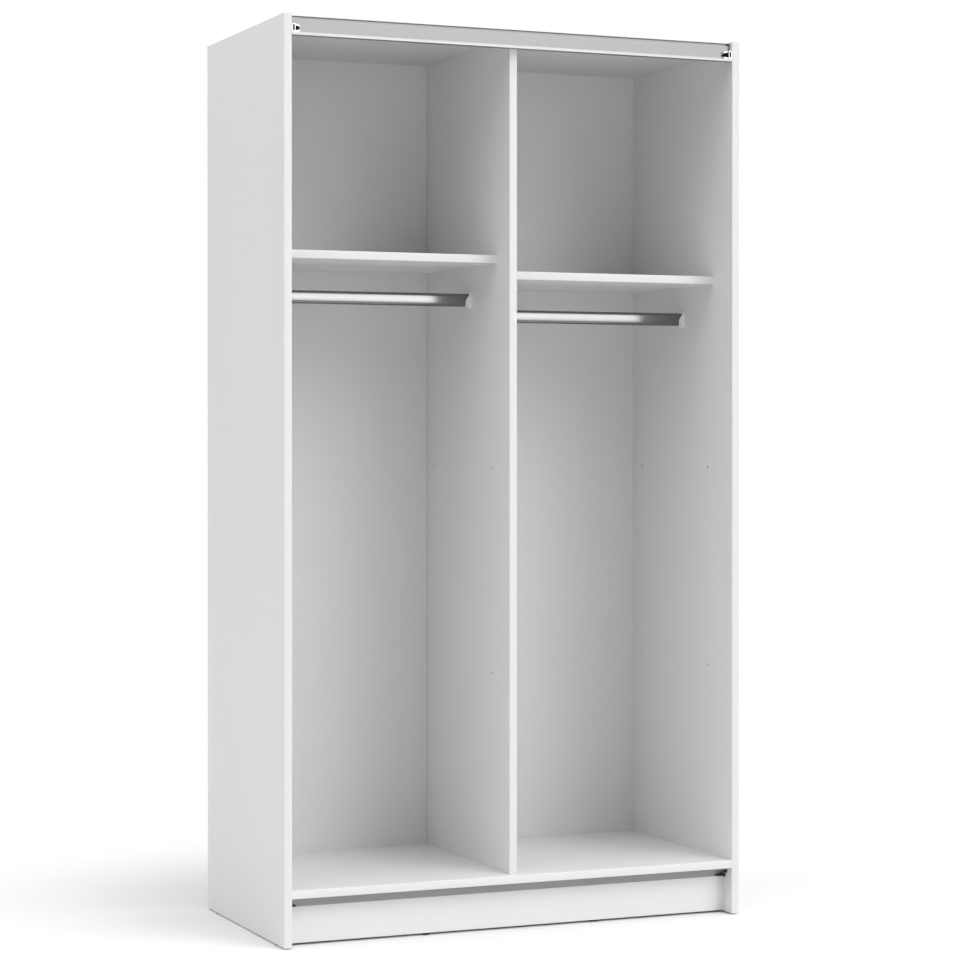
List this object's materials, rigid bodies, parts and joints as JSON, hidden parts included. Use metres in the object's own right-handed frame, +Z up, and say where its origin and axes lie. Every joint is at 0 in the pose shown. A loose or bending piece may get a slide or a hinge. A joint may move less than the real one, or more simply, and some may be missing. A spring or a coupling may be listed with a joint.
{
  "type": "wardrobe carcass",
  "caption": "Open two-bay wardrobe for sliding doors: white board carcass with divider, fixed shelves, chromed hanging rails, aluminium door track with stops and a guide rail.",
  "frame": {"origin": "on the floor under the middle of the carcass, halfway between the front and rear edges of the side panels", "axes": "+Z up, +X to the right seen from the front, +Y from the front towards the back"},
  "size_m": [1.1, 0.545, 2],
  "materials": {
    "white_board": "white melamine-faced chipboard, fine satin texture",
    "back_board": "white lacquered hardboard, brown on its rear face",
    "edge_band": "satin white edge band",
    "white_plastic": "moulded, satin",
    "dowel_wood": "fluted beech",
    "zinc_steel": "zinc plated",
    "chrome_tube": "bright chrome",
    "nickel": "nickel plated die casting",
    "track_aluminium": "satin anodised extrusion",
    "black_rubber": "matte",
    "black_plastic": "matte, fine moulding texture"
  },
  "bodies": {
    "carcass": {"side_panel_left": "white_board", "side_panel_right": "white_board", "top_panel": "white_board", "base_panel": "white_board", "divider_panel": "white_board", "side_edge_band_left": "edge_band", "side_edge_band_right": "edge_band", "divider_edge_band": "edge_band", "base_edge_band": "edge_band", "plinth_front": "white_board", "plinth_rear": "white_board", "plinth_brackets": "white_plastic", "plinth_bracket_screws": "zinc_steel", "plinth_dowels": "dowel_wood", "back_sheet_left": "back_board", "back_sheet_right": "back_board", "back_joining_strip": "white_plastic", "back_nails": "zinc_steel", "shelf_left": "white_board", "shelf_right": "white_board", "shelf_edge_band_left": "edge_band", "shelf_edge_band_right": "edge_band", "cam_locks": "zinc_steel", "cam_bolts": "zinc_steel", "wood_dowels": "dowel_wood", "shelf_cam_caps": "white_plastic", "divider_screws": "zinc_steel", "divider_dowels": "dowel_wood", "rail_socket_left_outer": "nickel", "rail_socket_left_inner": "nickel", "rail_socket_right_inner": "nickel", "rail_socket_right_outer": "nickel", "socket_screws_left": "zinc_steel", "socket_screws_right": "zinc_steel", "top_track": "track_aluminium", "top_track_screws": "zinc_steel", "guide_rail": "track_aluminium", "guide_rail_screws": "zinc_steel", "guide_end_stop_left": "black_plastic", "guide_end_stop_right": "black_plastic", "side_glides": "black_plastic", "plinth_glides": "black_plastic"},
    "hanging_rail_left": {"hanging_rail_left": "chrome_tube"},
    "hanging_rail_right": {"hanging_rail_right": "chrome_tube"},
    "door_stop_left": {"door_stop_body_left": "nickel", "door_stop_bumper_left": "black_rubber", "door_stop_strip_left": "black_rubber"},
    "door_stop_right": {"door_stop_body_right": "nickel", "door_stop_bumper_right": "black_rubber", "door_stop_strip_right": "black_rubber"}
  },
  "joints": [
    {"name": "rail_left_lift", "type": "slide", "parent": "carcass", "child": "hanging_rail_left", "axis": [0, 0, 1], "range_m": [0, 0.04]},
    {"name": "rail_right_lift", "type": "slide", "parent": "carcass", "child": "hanging_rail_right", "axis": [0, 0, 1], "range_m": [0, 0.04]},
    {"name": "door_stop_left_slide", "type": "slide", "parent": "carcass", "child": "door_stop_left", "axis": [1, 0, 0], "range_m": [0, 0.4]},
    {"name": "door_stop_right_slide", "type": "slide", "parent": "carcass", "child": "door_stop_right", "axis": [-1, 0, 0], "range_m": [0, 0.4]}
  ]
}
